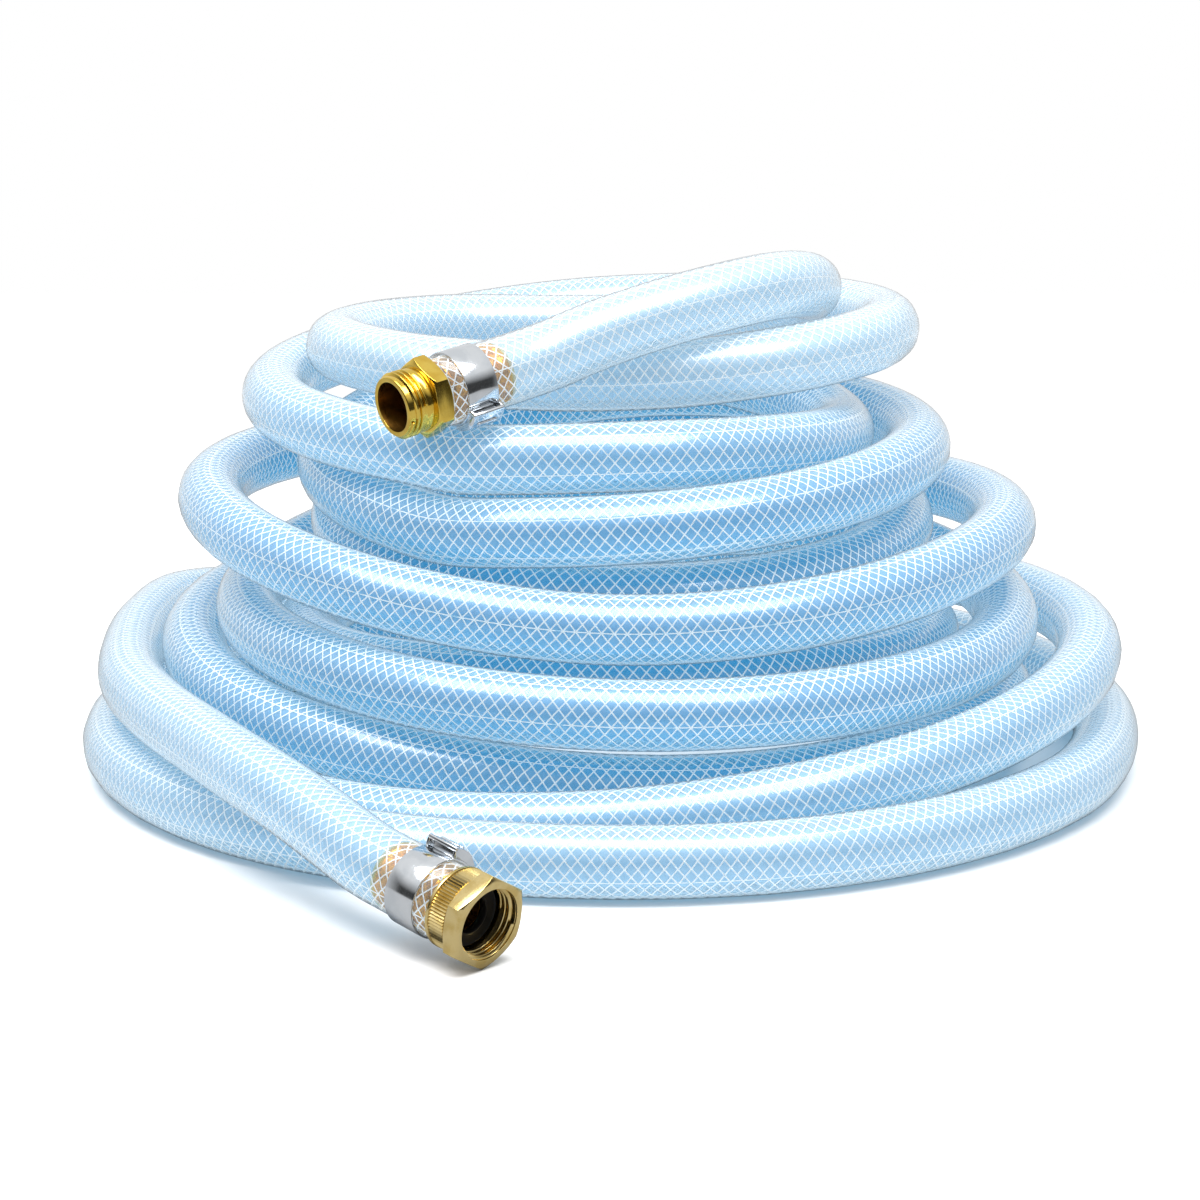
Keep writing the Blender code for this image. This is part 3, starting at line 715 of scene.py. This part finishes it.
# the barbs' turned rings, golden where the clear wall lets light in
barb_brass = worked_metal("Brass, turned barbs", male_frame, "#F2CA4E", "#CC9C28", 0.26)
body = turned("male_body", [
    (MALE_BORE, MALE_LENGTH), (0.0121, MALE_LENGTH), (THREAD_ROOT, MALE_LENGTH - 0.0004),
    (THREAD_ROOT, 0.0116), (0.0129, 0.0109), (0.0131, 0.0102), (0.0131, 0.0086), (0.0128, 0.0080),
    (0.0128, 0.0040), (TAIL_ROOT, 0.0004)] + barbs() + [
    (0.0105, -BARB_LENGTH), (TAIL_BORE, -BARB_LENGTH), (TAIL_BORE, 0.0012), (MALE_BORE, 0.0046)])
hexagon = hex_ring(*MALE_HEX, hole=0.0115)
ridge = thread_ridge(THREAD_ROOT - 0.0002, THREAD_CREST, 0.0112, MALE_LENGTH - 0.0005)
male_fitting = into_place("male_brass_fitting", [body, hexagon, ridge], male_frame, bright_brass)
# painted shade: the male bore's faces take the dark brass
refinish(male_fitting, male_frame, bore_shade_brass,
         lambda radius, height: radius < MALE_BORE and height < MALE_LENGTH - 0.0004)
refinish(male_fitting, male_frame, barb_brass,
         lambda radius, height: radius > 0.0100 and height < 0.0002)
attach(male_fitting, "hose")
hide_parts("male_fitting")


# Female tail: the barbed tube that is clamped in the floor end, turned from the same brass. Its
# front flange holds the nut captive and carries the washer.
female_frame = end_frame(route[0], route[3])
# paler brass, turned and not polished
pale_brass = worked_metal("Brass, turned", female_frame, "#E0CA8E", "#D2B874", 0.18,
                          depth=0.000008)
tail = turned("female_body", [
    (TAIL_BORE, 0.0055), (0.0130, 0.0055), (0.0130, 0.0031), (0.0105, 0.0031), (0.0105, 0.0003),
    (TAIL_ROOT, 0.0001)] + barbs() + [(0.0105, -BARB_LENGTH), (TAIL_BORE, -BARB_LENGTH)])
female_tail = into_place("female_brass_tail", [tail], female_frame, pale_brass)
# painted shade: the female bore's faces take the dark brass
refinish(female_tail, female_frame, bore_shade_brass, lambda radius, height: radius < TAIL_BORE + 0.0001)
refinish(female_tail, female_frame, barb_brass,
         lambda radius, height: radius > 0.0100 and height < 0.0002)
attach(female_tail, "hose")
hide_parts("female_stem")


# Swivel nut: turned brass with a hexagon in front, a straight-knurled grip and a thin rear lip. It
# turns freely on the tail's flange and has the garden hose thread inside.
NUT_HEX = (0.03175, 0.01074, 0.01794)
NUT_INSIDE = 0.0135
KNURL_TEETH = 76
KNURL_RADIUS = 0.0155
KNURL_DEPTH = 0.0006


def knurled_ring(start, end, inner):
    """The grip: a ring whose every second lengthwise edge is pressed inwards."""
    made = turned("knurl", [
        (KNURL_RADIUS, start), (KNURL_RADIUS, end), (inner, end), (inner, start)],
        sides=2 * KNURL_TEETH)
    middle = (inner + KNURL_RADIUS) / 2
    pick(made, lambda radius, angle, height:
         radius > middle and round(angle / math.pi * KNURL_TEETH) % 2 == 1)
    share = 1 - KNURL_DEPTH / KNURL_RADIUS
    bpy.ops.transform.resize(value=(share, share, 1), center_override=(0, 0, 0))
    bpy.ops.object.mode_set(mode="OBJECT")
    return made


shell = turned("nut_body", [
    (0.0138, 0.0175), (0.0151, 0.0175), (0.0151, 0.0100), (0.0149, 0.0098), (0.0149, 0.0022),
    (0.0157, 0.0020), (0.0157, 0.0009), (0.0156, 0.0008), (0.0109, 0.0008), (0.0109, 0.0028),
    (NUT_INSIDE, 0.0028), (NUT_INSIDE, 0.0172)])
hexagon = hex_ring(*NUT_HEX, hole=0.0136)
ridge = thread_ridge(NUT_INSIDE + 0.0002, THREAD_ROOT, 0.0092, 0.0176)
grip = knurled_ring(0.0023, 0.0097, 0.0146)
swivel_nut = into_place("brass_swivel_nut", [shell, hexagon, ridge], female_frame, pale_brass,
                        crisp=[grip])
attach(swivel_nut, "nut")
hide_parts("swivel_nut")


# Sealing washer: a moulded ring of black rubber that lies in the nut, on the tail's flange. The nut
# presses a tap's end on it.

# black rubber: a soft sheen, with the fine grain of its mould
rubber = new_material("EPDM rubber, moulded")
part = add_node(rubber, "TexCoord")
skin_grain = add_node(rubber, "TexNoise", {
    "Vector": part.outputs["Object"], "Scale": 2500, "Detail": 3})
bloom = add_node(rubber, "ValToRGB", {"Fac": skin_grain.outputs[0]})
bloom.color_ramp.elements[0].color = linear("#060607")
bloom.color_ramp.elements[1].color = linear("#101011")
relief = add_node(rubber, "Bump", {
    "Height": skin_grain.outputs[0], "Strength": 0.3, "Distance": 0.00005})
surface = add_node(rubber, "BsdfPrincipled", {
    "Base Color": bloom.outputs[0], "Roughness": 0.5, "Specular IOR Level": 0.25,
    "Normal": relief.outputs[0]})
add_node(rubber, "OutputMaterial", {"Surface": surface.outputs[0]})
ring = turned("washer_body", [
    (0.0069, 0.0088), (0.0074, 0.0088), (0.0079, 0.0085), (0.0112, 0.0085), (0.0116, 0.0088),
    (0.0119, 0.0088), (0.0119, 0.0058), (0.0069, 0.0058)])
washer = into_place("rubber_washer", [ring], female_frame, rubber, edge=0.0002)
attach(washer, "nut")
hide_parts("sealing_washer")


# Clamp bands: a strip of polished stainless steel drawn round each hose end over the barbs, and
# held by its buckle.
BAND_INSIDE = 0.01445
BAND_OUTSIDE = 0.01540
BAND_FRONT = -0.0065
BAND_WIDTH = 0.0145
BAND_MIDDLE = BAND_FRONT - BAND_WIDTH / 2
# where each buckle's slot is, as an angle round the hose from its side
clamps = (("male", male_frame, math.radians(-30)), ("female", female_frame, math.radians(74)))
clamp_steel = {}
for end, frame_there, _ in clamps:
    # rolled stainless strip: a grey mirror with fine lines along it
    clamp_steel[end] = worked_metal("Stainless steel strip, rolled, " + end, frame_there, "#DEE2E6",
                                    "#D4D9DE", 0.12, grain=0.0004, depth=0.0000003)
    band = turned("band_body", [
        (BAND_INSIDE, BAND_FRONT), (BAND_OUTSIDE, BAND_FRONT),
        (BAND_OUTSIDE, BAND_FRONT - BAND_WIDTH), (BAND_INSIDE, BAND_FRONT - BAND_WIDTH)], sides=128)
    band = into_place(end + "_steel_band", [band], frame_there, clamp_steel[end], edge=0.0002)
    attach(band, "hose")
    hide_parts(end + "_clamp_band")


# Clamp buckles: a folded steel plate that stands up at its slot, where the band's end goes in, and
# comes down to a thin tongue. Its folded rim is round, and ribs are pressed in it.
BUCKLE_SPAN = math.radians(55)
BUCKLE_STEPS = 20
BUCKLE_FLAT = 0.375                              # the part of its span next to the slot
BUCKLE_TOP = 0.0194
BUCKLE_TIP = 0.01680
BUCKLE_WIDTH = 0.0150
RIM_WIDTH = 0.0019
SIDE_BAR = 0.0012                                # thickness of the cheeks beside the slot


def buckle_plate(slot):
    """The wedge, from the slot down to the tongue: a section extruded round the hose in steps."""
    depth = BUCKLE_TOP - BAND_OUTSIDE
    step = BUCKLE_SPAN / BUCKLE_STEPS
    bpy.ops.object.select_all(action="DESELECT")
    bpy.ops.mesh.primitive_plane_add(size=1)
    made = bpy.context.object
    edit(made, "SELECT")
    bpy.ops.transform.rotate(value=math.pi / 2, orient_axis="X", center_override=(0, 0, 0))
    bpy.ops.transform.resize(value=(depth, 1, BUCKLE_WIDTH - SIDE_BAR))
    bpy.ops.transform.translate(value=(BAND_OUTSIDE + depth / 2, 0, BAND_MIDDLE))
    for _ in range(BUCKLE_STEPS):
        bpy.ops.mesh.extrude_region_move()
        bpy.ops.transform.rotate(value=step, orient_axis="Z", center_override=(0, 0, 0))
    bpy.ops.mesh.select_all(action="SELECT")
    bpy.ops.mesh.normals_make_consistent(inside=False)
    for k in range(BUCKLE_STEPS + 1):
        fall = max(0, (k / BUCKLE_STEPS - BUCKLE_FLAT) / (1 - BUCKLE_FLAT))
        share = 1 - (BUCKLE_TOP - BUCKLE_TIP) * fall / BUCKLE_TOP
        pick(made, lambda radius, angle, height:
             radius > BAND_OUTSIDE + depth / 2 and abs(angle + k * step) < step / 4)
        bpy.ops.transform.resize(value=(share, share, 1), center_override=(0, 0, 0))
    bpy.ops.object.mode_set(mode="OBJECT")
    made.rotation_euler = (0, 0, slot)
    bpy.ops.object.transform_apply(rotation=True)
    return made


def bar(size, radius, angle, height, round_edge):
    """A rounded bar on the buckle: its size outwards, round the hose and along it."""
    bpy.ops.object.select_all(action="DESELECT")
    bpy.ops.mesh.primitive_cube_add(size=1, location=(radius, 0, height))
    made = bpy.context.object
    made.scale = size
    bpy.ops.object.transform_apply(location=True, scale=True)
    take_modifier(made, "BEVEL", width=round_edge, segments=4, limit_method="NONE")
    made.rotation_euler = (0, 0, angle)
    bpy.ops.object.transform_apply(rotation=True)
    return made


for end, frame_there, slot in clamps:
    mouth = slot + 0.03
    pieces = [buckle_plate(slot), bar((RIM_WIDTH, RIM_WIDTH, BUCKLE_WIDTH), BUCKLE_TOP - 0.0004,
                                      mouth, BAND_MIDDLE, 0.0007)]
    for side in (-1, 1):
        height = BAND_MIDDLE + side * (BUCKLE_WIDTH - SIDE_BAR) / 2
        pieces.append(bar((0.0034, 0.0018, SIDE_BAR), BAND_OUTSIDE + 0.0016,
                          mouth, height, 0.0004))
    ribs = (0.24,) if end == "male" else (0.15, 0.28)
    for back in ribs:
        pieces.append(bar((0.0012, 0.0015, 0.0095), BUCKLE_TOP + 0.0001,
                          slot - back, BAND_MIDDLE, 0.0005))
    buckle = into_place(end + "_steel_buckle", pieces, frame_there, clamp_steel[end], edge=0.00025)
    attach(buckle, "hose")
    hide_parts(end + "_clamp_buckle")


# Studio: a plain white table that runs into a white wall, and a large soft light above and a little
# in front of the pile.
floor_paint = new_material("White table")
seen_by = add_node(floor_paint, "LightPath")
# painted reflection: glossy rays see the table as a dark grey, so metal reflects it darker than the
# lit table it is
shade = add_node(floor_paint, "MapRange", {
    "Value": seen_by.outputs["Is Glossy Ray"], "To Min": 0.88, "To Max": 0.3})
matt = add_node(floor_paint, "BsdfDiffuse", {"Color": shade.outputs[0]})
# towards its far edge it is lit from behind, like the white wall it meets
place = add_node(floor_paint, "TexCoord").outputs["Object"]
back = add_node(floor_paint, "SeparateXYZ", {"Vector": place}).outputs["Y"]
far = add_node(floor_paint, "MapRange", {"Value": back, "From Min": 0.0, "From Max": 0.5})
lit_back = add_node(floor_paint, "Emission", {"Strength": 1.02})
surface = add_node(floor_paint, "MixShader", {
    0: far.outputs[0], 1: matt.outputs[0], 2: lit_back.outputs[0]})
add_node(floor_paint, "OutputMaterial", {"Surface": surface.outputs[0]})
bpy.ops.object.select_all(action="DESELECT")
bpy.ops.mesh.primitive_plane_add(size=2.4, location=(0, 0.6, 0))
floor = bpy.context.object
floor.name = "studio_floor"
floor.data.materials.append(floor_paint)


def softbox(name, place, aim, size, power):
    """An area light that faces a point."""
    bpy.ops.object.light_add(type="AREA", location=place)
    made = bpy.context.object
    made.name = name
    made.data.shape = "RECTANGLE"
    made.data.size, made.data.size_y = size
    made.data.energy = power
    made.rotation_mode = "QUATERNION"
    made.rotation_quaternion = (Vector(aim) - Vector(place)).to_track_quat("-Z", "Y")
    return made


softbox("top_softbox", (-0.1, -0.55, 1.5), (0, 0, 0.1), (2.0, 0.8), 44)

world = bpy.data.worlds.new("studio")
bpy.context.scene.world = world
world.use_nodes = True
world.cycles.sampling_method = "NONE"
world.node_tree.nodes.clear()
seen_by = add_node(world, "LightPath")
sky = add_node(world, "TexCoord")
towards = add_node(world, "SeparateXYZ", {"Vector": sky.outputs["Generated"]})
glow = add_node(world, "MapRange", {
    "Value": towards.outputs["Z"], "From Min": -1, "To Min": 0.8, "To Max": 0.9})
beside = add_node(world, "MapRange", {
    "Value": towards.outputs["Y"], "From Min": -0.1, "From Max": 0.45,
    "To Min": 0.06, "To Max": 1.0})
above = add_node(world, "MapRange", {
    "Value": towards.outputs["Z"], "From Min": 0.2, "From Max": 0.6, "To Min": 0.0, "To Max": 1.0})
open_side = add_node(world, "Math", {0: beside.outputs[0], 1: above.outputs[0]},
                     operation="MAXIMUM")
# the dark room behind the camera shows only in the metal and the gloss
dark_room = add_node(world, "MapRange", {
    "Value": seen_by.outputs["Is Glossy Ray"], "To Min": 1.0, "To Max": open_side.outputs[0]})
lit = add_node(world, "Math", {0: glow.outputs[0], 1: dark_room.outputs[0]}, operation="MULTIPLY")
strength = add_node(world, "MapRange", {
    "Value": seen_by.outputs["Is Camera Ray"], "To Min": lit.outputs[0], "To Max": 1.0})
surface = add_node(world, "Background", {"Color": (1, 1, 1, 1), "Strength": strength.outputs[0]})
add_node(world, "OutputWorld", {"Surface": surface.outputs[0]})

scene = bpy.context.scene
scene.view_settings.view_transform = "Standard"
scene.cycles.max_bounces = 6
scene.cycles.transparent_max_bounces = 16
scene.cycles.diffuse_bounces = 2
scene.cycles.glossy_bounces = 3
scene.cycles.use_denoising = True
scene.cycles.adaptive_threshold = 0.03
